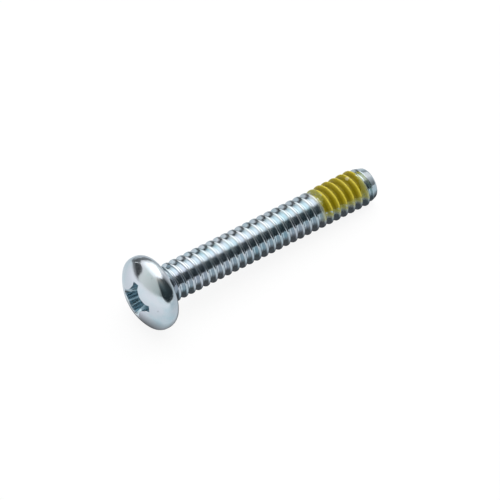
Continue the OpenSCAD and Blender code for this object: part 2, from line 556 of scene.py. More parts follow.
@dataclass(frozen=True)
class PanHead:
    """The domed pan head, from the floor of its recess round to the neck under it."""

    radius: float = 4.575 * MM
    height: float = 3.35 * MM
    dome_radius: float = 6.5 * MM
    shoulder_radius: float = 1.05 * MM
    under_radius: float = 1.23 * MM
    bearing_inset: float = 0.32 * MM
    fillet_radius: float = 0.36 * MM
    neck_radius: float = 2.035 * MM
    neck_end: float = 0.42 * MM
    rim_rounding: float = 0.1 * MM
    foot_rounding: float = 0.16 * MM
    columns: int = 180
    recess: CrossRecess = field(default_factory=CrossRecess)

    @property
    def dome_centre(self) -> float:
        """Height of the dome's centre over the bearing face."""
        return self.dome_radius - self.height

    def sag(self, radius: np.ndarray) -> np.ndarray:
        """Depth of the dome's surface below its top, at a radius."""
        return self.dome_radius - np.sqrt(self.dome_radius**2 - radius**2)

    def _solve(
        self, gap: Callable[[np.ndarray], np.ndarray], low: float, high: float
    ) -> np.ndarray:
        """Finds for each column the depth at which a gap closes.

        Args:
            gap: Function of the depth in each column, which rises through zero.
            low: Depth that is too small in every column.
            high: Depth that is too large in every column.

        Returns:
            The depth for each column.
        """
        near, far = np.full(self.columns, low), np.full(self.columns, high)
        halvings = 40
        for _ in range(halvings):
            middle = (near + far) / 2
            above = gap(middle) > 0
            near, far = np.where(above, near, middle), np.where(above, middle, far)
        return (near + far) / 2

    def recess_angles(self) -> np.ndarray:
        """Spreads the columns evenly along the rim of the recess.

        Returns:
            The angle of each column, from the middle of a wing.
        """
        samples = 7201
        fine = np.linspace(0, TURN, samples)
        rim = self.recess.wall(fine, self.sag(np.full_like(fine, self.recess.valley_radius)))
        step = np.hypot(np.diff(rim), rim[1:] * np.diff(fine))
        run = np.concatenate([[0], np.cumsum(step)])
        return np.interp(np.arange(self.columns) / self.columns * run[-1], run, fine)

    def rings(self, start_angle: float) -> list[Ring]:
        """Works out the head's rings, from the axis of the recess out and round to the neck.

        Args:
            start_angle: Angle of the thread's first column, to which the neck's columns keep.

        Returns:
            Radius, height and angle of each ring's columns.
        """
        recess, top = self.recess, -self.height
        own = self.recess_angles()
        crowd = own + math.radians(recess.turn_degrees)
        even = start_angle + np.arange(self.columns) * TURN / self.columns
        # The neck's column nearest to the first wing comes first.
        shift = round((crowd[0] - start_angle) / TURN * self.columns)
        even = even + shift * TURN / self.columns
        foot = self._solve(lambda d: d - recess.floor(recess.wall(own, d)), 0.0, recess.depth)
        rim = self._solve(lambda d: d - self.sag(recess.wall(own, d)), 0.0, recess.depth / 2)
        rings: list[Ring] = []

        def add(radius: np.ndarray, depth: np.ndarray, angle: np.ndarray) -> None:
            """Adds one ring, with its depth measured from the top of the dome."""
            rings.append((radius, top + depth, angle))

        foot_radius = recess.wall(own, foot)
        inner = foot_radius - self.foot_rounding
        for share in (0.06, 0.18, 0.34, 0.52, 0.7, 0.86, 1.0):
            add(inner * share, recess.floor(inner * share), crowd)
        wall_start = foot - self.foot_rounding
        ends = (inner, recess.floor(inner)), (recess.wall(own, wall_start), wall_start)
        for point in bend((foot_radius, foot), ends, 3):
            add(*point, crowd)
        # A ray that grazes a wing's side needs a longer bend for the same rounding.
        rim_radius = recess.wall(own, rim)
        swing = np.gradient(np.append(rim_radius, rim_radius[0]), np.append(own, own[0] + TURN))
        stretch = np.clip(np.hypot(1, swing[:-1] / rim_radius), 1, 3)
        wall_end = rim + self.rim_rounding
        for share in np.linspace(0, 1, 8):
            depth = wall_start + (wall_end - wall_start) * share
            add(recess.wall(own, depth), depth, crowd)
        outer = rim_radius + self.rim_rounding * stretch
        ends = (recess.wall(own, wall_end), wall_end), (outer, self.sag(outer))
        for point in bend((rim_radius, rim), ends, 7):
            add(*point, crowd)
        shoulder_x = self.radius - self.shoulder_radius
        lean = math.asin(shoulder_x / (self.dome_radius - self.shoulder_radius))
        blend = self.dome_radius * math.sin(lean)
        dome_rings = 26
        for ring in range(dome_rings):
            share = ring / dome_rings
            mix = share * share * (3 - 2 * share)
            radius = outer + (blend - outer) * share
            add(radius, self.sag(radius), crowd + (even - crowd) * mix)
        shoulder_z = self.dome_centre - (self.dome_radius - self.shoulder_radius) * math.cos(lean)
        under_x = self.radius - self.under_radius
        flat = self.radius - self.bearing_inset - under_x
        under_z = -math.sqrt(self.under_radius**2 - flat**2)
        full = np.ones(self.columns)

        def arc(centre: tuple[float, float], radius: float, turns: np.ndarray) -> None:
            """Adds rings along an arc, with its angles measured from straight down."""
            for angle in turns:
                out = centre[0] + radius * math.sin(angle)
                rings.append((out * full, (centre[1] - radius * math.cos(angle)) * full, even))

        arc((shoulder_x, shoulder_z), self.shoulder_radius, np.linspace(lean, TURN / 4, 16))
        low_corner = TURN / 4 + math.asin(-under_z / self.under_radius)
        arc((under_x, under_z), self.under_radius, np.linspace(TURN / 4, low_corner, 12))
        bearing = self.radius - self.bearing_inset
        fillet_x = self.neck_radius + self.fillet_radius
        for share in (0.15, 0.5, 0.85):
            rings.append(((bearing + (fillet_x - bearing) * share) * full, 0 * full, even))
        return rings

    def neck_rings(self, start_angle: float, columns: int) -> list[Ring]:
        """Works out the rings of the fillet and the neck, which have the thread's columns.

        Args:
            start_angle: Angle of the thread's first column.
            columns: Columns in a turn of the thread.

        Returns:
            Radius, height and angle of each ring's columns.
        """
        angle = start_angle + np.arange(columns) * TURN / columns
        full = np.ones(columns)
        centre = self.neck_radius + self.fillet_radius
        rings = []
        for turn in np.linspace(0, TURN / 4, 7):
            radius = centre - self.fillet_radius * math.sin(turn)
            height = self.fillet_radius * (1 - math.cos(turn))
            rings.append((radius * full, height * full, angle))
        rings.append((self.neck_radius * full, self.neck_end * full, angle))
        return rings


def bend(
    corner: tuple[np.ndarray, np.ndarray],
    ends: tuple[tuple[np.ndarray, np.ndarray], tuple[np.ndarray, np.ndarray]],
    steps: int,
) -> list[tuple[np.ndarray, np.ndarray]]:
    """Rounds a corner in every column, by a parabola that touches both of its sides.

    Args:
        corner: Radius and depth of the corner.
        ends: Where the bend starts and ends, each as radius and depth.
        steps: Points inside the bend.

    Returns:
        Radius and depth of the points, without the two ends.
    """
    points = []
    for share in np.arange(1, steps + 1) / (steps + 1):
        weights = (1 - share) ** 2, 2 * share * (1 - share), share**2
        points.append(
            tuple(
                weights[0] * ends[0][k] + weights[1] * corner[k] + weights[2] * ends[1][k]
                for k in (0, 1)
            )
        )
    return points


@dataclass(frozen=True)
class ZincPlate:
    """Bright zinc with a clear bluish passivation, a haze of nylon dust round the patch, and painted
    shade inside the drive recess.
    """

    axis: ScrewAxis
    name: str = "zinc_plate"
    silver: Colour = (0.6, 0.66, 0.7)
    lavender: Colour = (0.62, 0.65, 0.71)
    teal: Colour = (0.5, 0.63, 0.68)
    cloud_waves: float = 0.35 / MM
    haze: Colour = (0.42, 0.4, 0.06)
    dust_waves: float = 2.6 / MM
    dirt: Colour = (0.16, 0.16, 0.17)
    # Painted shade: a darker, bluer base colour inside the drive recess.
    recess_painted_shade: Colour = (0.45, 0.56, 0.61)
    roughness: tuple[float, float] = (0.1, 0.19)
    stain_waves: float = 1.6 / MM
    dust_roughness: float = 0.2
    grain_waves: float = 6.0 / MM
    grain_depth: float = 0.02 * MM
    dome_radius: float = 6.5 * MM
    dome_height: float = 3.35 * MM
    specks: tuple[tuple[float, float, float], ...] = (
        (3.43 * MM, 259.0, 0.07 * MM),
        (4.13 * MM, 197.0, 0.05 * MM),
    )
    haze_start: float = 22.3 * MM
    haze_end: float = 29.8 * MM
    haze_degrees: float = 162.0
    haze_reach: float = 0.9 * MM

    def coordinates(
        self, tree: bpy.types.NodeTree, place: bpy.types.NodeSocket
    ) -> tuple[Number, Number, Number]:
        """Turns object coordinates into the screw's own.

        Args:
            tree: The material's tree.
            place: Object coordinates.

        Returns:
            The height above the bearing face, and the two distances across from the axis.
        """
        parts = tree.nodes.new("ShaderNodeSeparateXYZ")
        tree.links.new(place, parts.inputs[0])
        ahead = Number(tree, parts.outputs["X"]) - self.axis.foot.x
        above = Number(tree, parts.outputs["Z"]) - self.axis.foot.z
        along = ahead * self.axis.way.x + above * self.axis.way.z
        down = ahead * self.axis.way.z - above * self.axis.way.x
        return along, down, Number(tree, parts.outputs["Y"])

    def haze_share(self, along: Number, down: Number, aside: Number) -> Number:
        """Works out how much nylon dust lies on the plating.

        Args:
            along: Height above the bearing face.
            down: Distance from the axis towards the table.
            aside: Distance from the axis towards the back.

        Returns:
            Zero away from the patch, one beside and under it.
        """
        middle = math.radians(self.haze_degrees)
        side = down * math.cos(middle) + aside * math.sin(middle)
        ends = (along - self.haze_start).least(self.haze_end - along)
        inside = (side + self.haze_reach).least(ends)
        return (inside / self.haze_reach).eased()

    def recess_shade_share(self, along: Number, down: Number, aside: Number) -> Number:
        """Works out where the plating lies inside the drive recess, where its colour is painted darker
        as shade.

        Args:
            along: Height above the bearing face.
            down: Distance from the axis towards the table.
            aside: Distance from the axis towards the back.

        Returns:
            Zero on the dome, one inside the recess.
        """
        blend, reach = 0.3 * MM, 3.2 * MM
        across = down * down + aside * aside
        rise = along - (self.dome_radius - self.dome_height)
        depth = self.dome_radius - (across + rise * rise).root()
        near = (reach - across.root()) / blend
        under_top = (0.0 - along) / blend
        return (depth / blend - 0.3).share() * near.share() * under_top.share()

    def speck_share(self, along: Number, down: Number, aside: Number) -> Number:
        """Works out where small specks of dirt lie on the dome.

        Args:
            along: Height above the bearing face.
            down: Distance from the axis towards the table.
            aside: Distance from the axis towards the back.

        Returns:
            Zero on clean plating, up to one on a speck.
        """
        share = along * 0.0
        for out, degrees, size in self.specks:
            turn = math.radians(degrees)
            gap_down, gap_aside = down - out * math.cos(turn), aside - out * math.sin(turn)
            away = (gap_down * gap_down + gap_aside * gap_aside).root()
            share = share.most((1.5 - away / size).share())
        faint = 0.4
        return share * ((0.0 - along) / MM).share() * faint

    def build(self) -> bpy.types.Material:
        """Builds the material.

        Returns:
            The material, which reads Object coordinates.
        """
        material = bpy.data.materials.new(self.name)
        material.use_nodes = True
        tree = material.node_tree
        nodes, links = tree.nodes, tree.links
        shader = nodes["Principled BSDF"]
        shader.inputs["Metallic"].default_value = 1.0
        place = nodes.new("ShaderNodeTexCoord").outputs["Object"]
        clouds = noise(material, place, self.cloud_waves, 3.0)
        tint = nodes.new("ShaderNodeValToRGB")
        stops = tint.color_ramp.elements
        stops[0].position, stops[0].color = 0.32, (*self.teal, 1)
        stops[1].position, stops[1].color = 0.68, (*self.lavender, 1)
        stops.new(0.5).color = (*self.silver, 1)
        links.new(clouds.source, tint.inputs[0])
        speck = noise(material, place, self.dust_waves, 2.5)
        own = self.coordinates(tree, place)
        dust = self.haze_share(*own) * ((speck - 0.22) * 4.5).share()
        # Painted shade: the base colour darkens inside the drive recess.
        colour = blended(self.recess_shade_share(*own), tint.outputs[0], self.recess_painted_shade)
        colour = blended(dust * 0.95, colour, self.haze)
        colour = blended(self.speck_share(*own), colour, self.dirt)
        links.new(colour, shader.inputs["Base Color"])
        links.new((1.0 - dust * 0.8).source, shader.inputs["Metallic"])
        stain = noise(material, place, self.stain_waves, 4.0)
        rougher = self.roughness[1] - self.roughness[0]
        gloss = self.roughness[0] + ((stain - 0.3) * 2.5).share() * rougher
        links.new((gloss + dust * self.dust_roughness).source, shader.inputs["Roughness"])
        grain = noise(material, place, self.grain_waves, 3.0)
        links.new(bumped(grain, 0.06, self.grain_depth), shader.inputs["Normal"])
        return material


@dataclass(frozen=True)
class NylonFilm:
    """Satin yellow nylon, sprayed on and fused to the thread, with one pale scraped fleck,
    with painted shade in its grooves and a painted highlight on its crests.
    """

    axis: ScrewAxis
    name: str = "yellow_nylon"
    # Painted light and shade: the body colours run from the root, painted dark as shade over the deeper
    # colour of the thicker nylon there, up the flank to the crest, painted light as a highlight.
    root: Colour = (0.27, 0.22, 0.002)
    flank: Colour = (0.36, 0.29, 0.004)
    upper: Colour = (0.46, 0.38, 0.012)
    crest: Colour = (0.7, 0.59, 0.06)
    fleck: Colour = (0.78, 0.72, 0.42)
    fleck_height: float = 27.7 * MM
    fleck_radius: float = 2.35 * MM
    fleck_degrees: float = 173.0
    fleck_size: float = 0.34 * MM
    thin: Colour = (0.38, 0.36, 0.05)
    mottle_waves: float = 1.4 / MM
    roughness: tuple[float, float] = (0.3, 0.45)
    grain_waves: float = 5.0 / MM
    grain_depth: float = 0.05 * MM

    def fleck_share(self, material: bpy.types.Material, place: bpy.types.NodeSocket) -> Number:
        """Works out where the nylon is scraped pale.

        Args:
            material: The material.
            place: Object coordinates.

        Returns:
            Zero away from the fleck, up to one on it.
        """
        tree = material.node_tree
        turn = math.radians(self.fleck_degrees)
        out = self.fleck_radius
        upright = Vector((out * math.cos(turn), out * math.sin(turn), self.fleck_height))
        spot = self.axis.laid_down() @ upright
        parts = tree.nodes.new("ShaderNodeSeparateXYZ")
        tree.links.new(place, parts.inputs[0])
        gaps = [Number(tree, parts.outputs[k]) - spot[k] for k in range(3)]
        away = (gaps[0] * gaps[0] + gaps[1] * gaps[1] + gaps[2] * gaps[2]).root()
        grain = noise(material, place, 5.5 / MM, 2.0)
        return ((1.0 - away / self.fleck_size) * 2.5 + (grain - 0.5) * 4.0).share() * 0.75

    def build(self) -> bpy.types.Material:
        """Builds the material.

        Returns:
            The material, which reads Object coordinates and the piece's own film thickness.
        """
        material = bpy.data.materials.new(self.name)
        material.use_nodes = True
        nodes, links = material.node_tree.nodes, material.node_tree.links
        shader = nodes["Principled BSDF"]
        shader.inputs["Specular IOR Level"].default_value = 0.25
        place = nodes.new("ShaderNodeTexCoord").outputs["Object"]
        mottle = noise(material, place, self.mottle_waves, 4.0)
        height = stored(material, "crest") + (mottle - 0.5) * 0.25
        # Painted light and shade: the ramp darkens the root as shade over the thicker nylon's deeper
        # colour and lightens the crest as a highlight.
        body = nodes.new("ShaderNodeValToRGB")
        stops = body.color_ramp.elements
        stops[0].position, stops[0].color = 0.02, (*self.root, 1)
        stops[1].position, stops[1].color = 1.0, (*self.crest, 1)
        stops.new(0.3).color = (*self.flank, 1)
        stops.new(0.8).color = (*self.upper, 1)
        links.new(height.source, body.inputs[0])
        cover = (stored(material, "film") * 1.6).share()
        colour = blended(cover, self.thin, body.outputs[0])
        colour = blended(self.fleck_share(material, place), colour, self.fleck)
        links.new(colour, shader.inputs["Base Color"])
        links.new(((1.0 - cover) * 0.7).source, shader.inputs["Metallic"])
        grain = noise(material, place, self.grain_waves, 4.0)
        gloss = self.roughness[0] + grain * (self.roughness[1] - self.roughness[0])
        links.new(gloss.source, shader.inputs["Roughness"])
        links.new(bumped(grain, 0.3, self.grain_depth), shader.inputs["Normal"])
        return material


def noise(
    material: bpy.types.Material, place: bpy.types.NodeSocket, waves: float, detail: float
) -> Number:
    """Adds a noise texture to a material.

    Args:
        material: The material.
        place: The coordinates that it reads.
        waves: Waves in a metre.
        detail: Octaves of finer noise.

    Returns:
        The noise, from zero to one.
    """
    texture = material.node_tree.nodes.new("ShaderNodeTexNoise")
    texture.inputs["Scale"].default_value = waves
    texture.inputs["Detail"].default_value = detail
    material.node_tree.links.new(place, texture.inputs["Vector"])
    return Number(material.node_tree, texture.outputs[0])


def stored(material: bpy.types.Material, name: str) -> Number:
    """Reads a number that is kept on a piece's points.

    Args:
        material: The material.
        name: Name of the kept number.

    Returns:
        The number.
    """
    reader = material.node_tree.nodes.new("ShaderNodeAttribute")
    reader.attribute_name = name
    return Number(material.node_tree, reader.outputs["Fac"])


def blended(
    share: Number, first: bpy.types.NodeSocket | Colour, second: bpy.types.NodeSocket | Colour
) -> bpy.types.NodeSocket:
    """Blends two colours.

    Args:
        share: Zero where the first colour shows and one where the second does.
        first: The first colour.
        second: The second colour.

    Returns:
        The blended colour.
    """
    mix = share.tree.nodes.new("ShaderNodeMix")
    mix.data_type = "RGBA"
    share.tree.links.new(share.source, mix.inputs["Factor"])
    for letter, colour in (("A", first), ("B", second)):
        if isinstance(colour, bpy.types.NodeSocket):
            share.tree.links.new(colour, mix.inputs[letter])
        else:
            mix.inputs[letter].default_value = (*colour, 1)
    return mix.outputs["Result"]


def bumped(height: Number, strength: float, depth: float) -> bpy.types.NodeSocket:
    """Roughens a surface a little.

    Args:
        height: Height of the grain, from zero to one.
        strength: How strongly it shows.
        depth: Depth of the grain.

    Returns:
        The surface's normal.
    """
    bump = height.tree.nodes.new("ShaderNodeBump")
    bump.inputs["Strength"].default_value = strength
    bump.inputs["Distance"].default_value = depth
    height.tree.links.new(height.source, bump.inputs["Height"])
    return bump.outputs[0]


def placed(name: str, data: bpy.types.ID) -> bpy.types.Object:
    """Puts an object in the scene.

    Args:
        name: Its name.
        data: Its mesh, lamp or lens.

    Returns:
        The object, at the origin.
    """
    made = bpy.data.objects.new(name, data)
    bpy.context.scene.collection.objects.link(made)
    return made


@dataclass(frozen=True)
class PlatedScrew:
    """The screw itself: head, neck, shank and thread in one closed skin."""

    thread: ThreadForm
    head: PanHead
    axis: ScrewAxis
    plate: ZincPlate

    def shank_mesh(self, material: bpy.types.Material) -> bpy.types.Mesh:
        """Builds the threaded shank, from the neck to the closed tip."""
        span = SheetSpan(0.0, 1.0, self.thread.columns, -3, self.thread.ridges + 6)
        sheet = ThreadSheet("thread_skin", self.thread, self.head.neck_end)
        flat, share, ridge, place = sheet.grid(span)
        skin = sheet.wrapped(flat, share, ridge, place, 0.0)
        sheet.finish(skin, material)
        return sheet.made("shank_skin")

    def add_head(self, shell: bmesh.types.BMesh) -> None:
        """Adds the head and the neck to the shell.

        Args:
            shell: The mesh under construction.
        """
        start = math.radians(self.thread.start_degrees)
        head_rings = self.head.rings(start)
        neck_rings = self.head.neck_rings(start, self.thread.columns)
        made = []
        for radius, height, angle in head_rings + neck_rings:
            made.append(
                [
                    shell.verts.new((r * math.cos(a), r * math.sin(a), z))
                    for r, z, a in zip(radius, height, angle)
                ]
            )
        floor_depth = self.head.recess.floor(np.array(0.0))
        apex = shell.verts.new((0, 0, float(floor_depth) - self.head.height))
        for left, right in zip(made[0], made[0][1:] + made[0][:1]):
            shell.faces.new((apex, right, left))
        joint = len(head_rings)
        for lower, upper in zip(made[:joint], made[1:joint]):
            band(shell, lower, upper)
        band(shell, made[joint - 1], made[joint], self.nearest(made[joint - 1], made[joint]))
        for lower, upper in zip(made[joint:], made[joint + 1:]):
            band(shell, lower, upper)

    @staticmethod
    def nearest(fine: list[bmesh.types.BMVert], coarse: list[bmesh.types.BMVert]) -> int:
        """Finds the coarse ring's vertex that lies beside the fine ring's first."""
        angle = math.atan2(fine[0].co.y, fine[0].co.x)
        first = math.atan2(coarse[0].co.y, coarse[0].co.x)
        return round((angle - first) / TURN * len(coarse)) % len(coarse)

    def build(self) -> bpy.types.Object:
        """Builds the screw and puts it in its place.

        Returns:
            The piece that stands for the CAD node.
        """
        material = self.plate.build()
        shell = bmesh.new()
        self.add_head(shell)
        shell.from_mesh(self.shank_mesh(material))
        weld = 5e-4 * MM
        bmesh.ops.remove_doubles(shell, verts=shell.verts, dist=weld)
        piece = finished(shell, "plated_screw", material, self.axis)
        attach(piece, "root")
        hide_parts("screw")
        return piece


def band(
    shell: bmesh.types.BMesh,
    lower: list[bmesh.types.BMVert],
    upper: list[bmesh.types.BMVert],
    shift: int = 0,
) -> None:
    """Joins two rings by faces that point outward.

    Args:
        shell: The mesh under construction.
        lower: The ring nearer to the recess, with as many vertices as the other or twice as many.
        upper: The ring nearer to the tip.
        shift: Number of the upper ring's vertex beside the lower ring's first.
    """
    upper = upper[shift:] + upper[:shift]
    ratio = len(lower) // len(upper)
    for column, vertex in enumerate(upper):
        after = upper[(column + 1) % len(upper)]
        first = column * ratio
        if ratio == 1:
            shell.faces.new((lower[first], lower[(first + 1) % len(lower)], after, vertex))
            continue
        middle, last = lower[first + 1], lower[(first + 2) % len(lower)]
        shell.faces.new((lower[first], middle, vertex))
        shell.faces.new((middle, last, after, vertex))


def finished(
    shell: bmesh.types.BMesh, name: str, material: bpy.types.Material, axis: ScrewAxis
) -> bpy.types.Object:
    """Lays a shell down in its place, makes it an object and logs it.

    Args:
        shell: The upright mesh.
        name: Name of the piece.
        material: Its finish.
        axis: Where the screw lies.

    Returns:
        The object, with its place in its mesh.
    """
    open_edges = sum(1 for edge in shell.edges if not edge.is_manifold)
    shell.transform(axis.laid_down())
    for face in shell.faces:
        face.smooth = True
        face.material_index = 0
    mesh = bpy.data.meshes.new(name)
    shell.to_mesh(mesh)
    shell.free()
    mesh.materials.clear()
    mesh.materials.append(material)
    LOG.info("%s: %d faces, %d open edges", name, len(mesh.polygons), open_edges)
    return placed(name, mesh)


@dataclass(frozen=True)
class LockingPatch:
    """The nylon locking patch, sprayed over half the thread's circumference near the tip."""

    thread: ThreadForm
    axis: ScrewAxis
    film: NylonFilm
    near_end: float = 23.4 * MM
    length: float = 6.0 * MM
    slant: float = 2.5 * MM
    centre_degrees: float = 162.0
    arc_degrees: float = 180.0
    over_crest: float = 0.06 * MM
    in_groove: float = 0.1 * MM
    sunk: float = 0.03 * MM
    margin: float = 0.5 * MM
    feather: float = 0.55 * MM
    raggedness: float = 0.9 * MM
    ragged_waves: float = 1.3 / MM
    crest_wear: float = 0.1 * MM
    # Painted light: the nylon's tone is lifted on the flank that faces the tip and lowered on the one
    # that faces the head.
    tip_flank_painted_light: float = 0.3
    fineness: int = 2

    def build(self) -> bpy.types.Object:
        """Builds the patch and puts it in its place.

        Returns:
            The piece that stands for the CAD node.
        """
        thread = self.thread
        material = self.film.build()
        middle = (self.centre_degrees - thread.start_degrees) / 360 % 1.0
        half = self.arc_degrees / 720 + self.margin / (TURN * thread.pitch_radius)
        columns = round(2 * half * thread.columns * self.fineness)
        reach = self.margin + half * (self.slant + thread.pitch)
        low = self.near_end - reach - thread.first_crest
        high = self.near_end + self.length + reach - thread.first_crest
        first = math.floor(low / thread.pitch - middle + 0.5)
        ridges = math.ceil(high / thread.pitch - middle + 0.5) - first
        sheet = ThreadSheet("nylon_skin", thread, 0.0)
        sheet.add_inputs(
            {
                "Patch middle": middle,
                "Patch arc": self.arc_degrees / 360,
                "Patch start": self.near_end,
                "Patch length": self.length,
                "Patch slant": self.slant,
                "Over crest": self.over_crest,
                "In groove": self.in_groove,
                "Sunk": self.sunk,
                "Feather": self.feather,
                "Raggedness": self.raggedness,
            }
        )
        span = SheetSpan(middle - half, middle + half, columns, first, ridges)
        flat, share, ridge, place = sheet.grid(span)
        turns = ridge + share + place
        height = sheet.input("First crest") + turns * sheet.input("Pitch")
        steel = sheet.radius(turns, place, height)
        crest = (steel - sheet.input("Root radius")) / (
            sheet.input("Crest radius") - sheet.input("Root radius")
        )
        cover = self.cover(sheet, share, height, crest)
        thicker = sheet.input("Over crest") - sheet.input("In groove")
        film = sheet.input("In groove") + thicker * crest
        lift = (film + sheet.input("Sunk")) * cover - sheet.input("Sunk")
        # The numbers are kept on the flat grid, before its points move.
        flat = self.keep(sheet, flat, "film", cover)
        # Painted light: the kept tone is lifted on the flank that faces the tip and lowered on the one
        # that faces the head.
        tone = crest + (place * TURN).sine() * self.tip_flank_painted_light
        flat = self.keep(sheet, flat, "crest", tone)
        outer = sheet.wrapped(flat, share, ridge, place, lift)
        inner = sheet.wrapped(flat, share, ridge, place, 0.0 - sheet.input("Sunk"))
        turned = sheet.node("GeometryNodeFlipFaces", Mesh=inner)
        both = sheet.tree.nodes.new("GeometryNodeJoinGeometry")
        sheet.tree.links.new(outer, both.inputs[0])
        sheet.tree.links.new(turned.outputs[0], both.inputs[0])
        sheet.finish(both.outputs[0], material)
        shell = bmesh.new()
        shell.from_mesh(sheet.made("patch_skin"))
        self.trim(shell)
        piece = finished(shell, "nylon_patch", material, self.axis)
        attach(piece, "root")
        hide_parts("locking_patch")
        return piece

    @staticmethod
    def trim(shell: bmesh.types.BMesh) -> None:
        """Takes off the bare sheet round the film, so that the film is a closed skin.

        Args:
            shell: The mesh under construction.
        """
        film, nothing = shell.verts.layers.float["film"], 1e-6
        bare = [
            face for face in shell.faces if max(vertex[film] for vertex in face.verts) < nothing
        ]
        while bare:
            bmesh.ops.delete(shell, geom=bare, context="FACES")
            rim = (edge for edge in shell.edges if len(edge.link_faces) == 1)
            bare = list({edge.link_faces[0] for edge in rim})

    @staticmethod
    def keep(
        sheet: ThreadSheet, skin: bpy.types.NodeSocket, name: str, value: Number
    ) -> bpy.types.NodeSocket:
        """Keeps a number on the points of a skin, for the material to read.

        Args:
            sheet: The sheet under construction.
            skin: The skin.
            name: Name of the kept number.
            value: The number.

        Returns:
            The skin with the number on it.
        """
        store = sheet.tree.nodes.new("GeometryNodeStoreNamedAttribute")
        store.data_type, store.domain = "FLOAT", "POINT"
        store.inputs["Name"].default_value = name
        sheet.tree.links.new(skin, store.inputs["Geometry"])
        sheet.tree.links.new(value.source, store.inputs["Value"])
        return store.outputs[0]

    def cover(self, sheet: ThreadSheet, share: Number, height: Number, crest: Number) -> Number:
        """Works out how fully the nylon covers the steel.

        Args:
            sheet: The sheet under construction.
            share: Share of a turn from the thread's start.
            height: Height above the bearing face.
            crest: Zero in a groove and one on a crest.

        Returns:
            Zero outside the ragged edge of the patch, one well inside it.
        """
        round_the_axis = sheet.input("Pitch radius") * TURN
        off_middle = share - sheet.input("Patch middle")
        side = sheet.input("Patch arc") * 0.5 - off_middle.size()
        slanted = height + off_middle * sheet.input("Patch slant")
        past_start = slanted - sheet.input("Patch start")
        ends = past_start.least(sheet.input("Patch length") - past_start)
        spot = sheet.node("ShaderNodeCombineXYZ", X=share * round_the_axis, Y=height, Z=0.0)
        waves = sheet.node(
            "ShaderNodeTexNoise", Vector=spot.outputs[0], Scale=self.ragged_waves, Detail=3.0
        )
        ragged = (Number(sheet.tree, waves.outputs[0]) - 0.5) * sheet.input("Raggedness")
        inside = (side * round_the_axis).rounded_least(ends, sheet.input("Feather"))
        return ((inside + ragged - crest * self.crest_wear) / sheet.input("Feather")).eased()


class Tint(Enum):
    """Colour cast of a card, in shares of red, green and blue."""

    BLUISH = (0.95, 1.0, 1.03)
    DIM_BLUE = (0.75, 1.0, 1.12)
    GREENISH = (0.97, 1.0, 0.97)
    BEIGE = (1.1, 1.0, 0.88)


@dataclass(frozen=True)
class Flag:
    """A curved card that only mirrors see, given by the directions in which it stands.

    Azimuths run from the front towards the tip and elevations up from the table, in degrees.
    Elevations and tones are given for the first and the last azimuth, and blend between them.
    The tone at the foot blends into the tone at the top, and mostly near the top.
    """

    name: str
    azimuths: tuple[float, float]
    bottoms: tuple[float, float]
    tops: tuple[float, float]
    tones: tuple[float, float]
    top_tones: tuple[float, float] | None = None
    tint: Tint = Tint.BLUISH
    top_tint: Tint = Tint.BLUISH
    distance: float = 0.9
    columns: int = 16
    rows: int = 8

    def build(self) -> bpy.types.Object:
        """Builds the card."""
        points, tones = [], []
        for column in range(self.columns + 1):
            share = column / self.columns
            azimuth = math.radians(between(self.azimuths, share))
            heights = between(self.bottoms, share), between(self.tops, share)
            foot = between(self.tones, share)
            top = between(self.top_tones or self.tones, share)
            for row in range(self.rows + 1):
                elevation = math.radians(between(heights, row / self.rows))
                points.append(direction(azimuth, elevation) * self.distance)
                climb = (row / self.rows) ** 3
                tone = between((foot, top), climb)
                tints = zip(self.tint.value, self.top_tint.value)
                tones.append([tone * between(ends, climb) for ends in tints])
        return glowing_card(self.name, points, grid_faces(self.columns, self.rows), tones)


def direction(azimuth: float, elevation: float) -> Vector:
    """Gives the way out at an azimuth, from the front towards the tip, and an elevation."""
    level = math.cos(elevation)
    return Vector((math.sin(azimuth) * level, -math.cos(azimuth) * level, math.sin(elevation)))


def grid_faces(columns: int, rows: int) -> list[tuple[int, ...]]:
    """Joins a grid of points, which are numbered column by column, into faces.

    Args:
        columns: Faces across.
        rows: Faces in a column.

    Returns:
        The faces, as numbers of points.
    """
    faces = []
    for column in range(columns):
        for row in range(rows):
            first = column * (rows + 1) + row
            after = first + rows + 1
            faces.append((first, after, after + 1, first + 1))
    return faces


def glowing_card(
    name: str,
    points: list[Vector],
    faces: list[tuple[int, ...]],
    tones: list[list[float]],
) -> bpy.types.Object:
    """Builds a card that glows in its own tones and that only mirrors see.

    Args:
        name: Name of the card and its material.
        points: Its points.
        faces: Its faces, as numbers of points.
        tones: Light given off at each point, in red, green and blue.

    Returns:
        The card.
    """
    mesh = bpy.data.meshes.new(name)
    mesh.from_pydata(points, [], faces)
    tone = mesh.attributes.new("tone", "FLOAT_VECTOR", "POINT")
    tone.data.foreach_set("vector", np.array(tones).ravel())
    material = bpy.data.materials.new(name)
    material.use_nodes = True
    nodes, links = material.node_tree.nodes, material.node_tree.links
    nodes.remove(nodes["Principled BSDF"])
    reader = nodes.new("ShaderNodeAttribute")
    reader.attribute_name = "tone"
    light = nodes.new("ShaderNodeEmission")
    links.new(reader.outputs["Vector"], light.inputs["Color"])
    links.new(light.outputs[0], nodes["Material Output"].inputs[0])
    mesh.materials.append(material)
    card = placed(name, mesh)
    card.visible_camera = False
    card.visible_diffuse = False
    card.visible_shadow = False
    return card


def between(ends: tuple[float, float], share: float) -> float:
    """Gives the value that lies at a share of the way between two ends."""
    return ends[0] + (ends[1] - ends[0]) * share


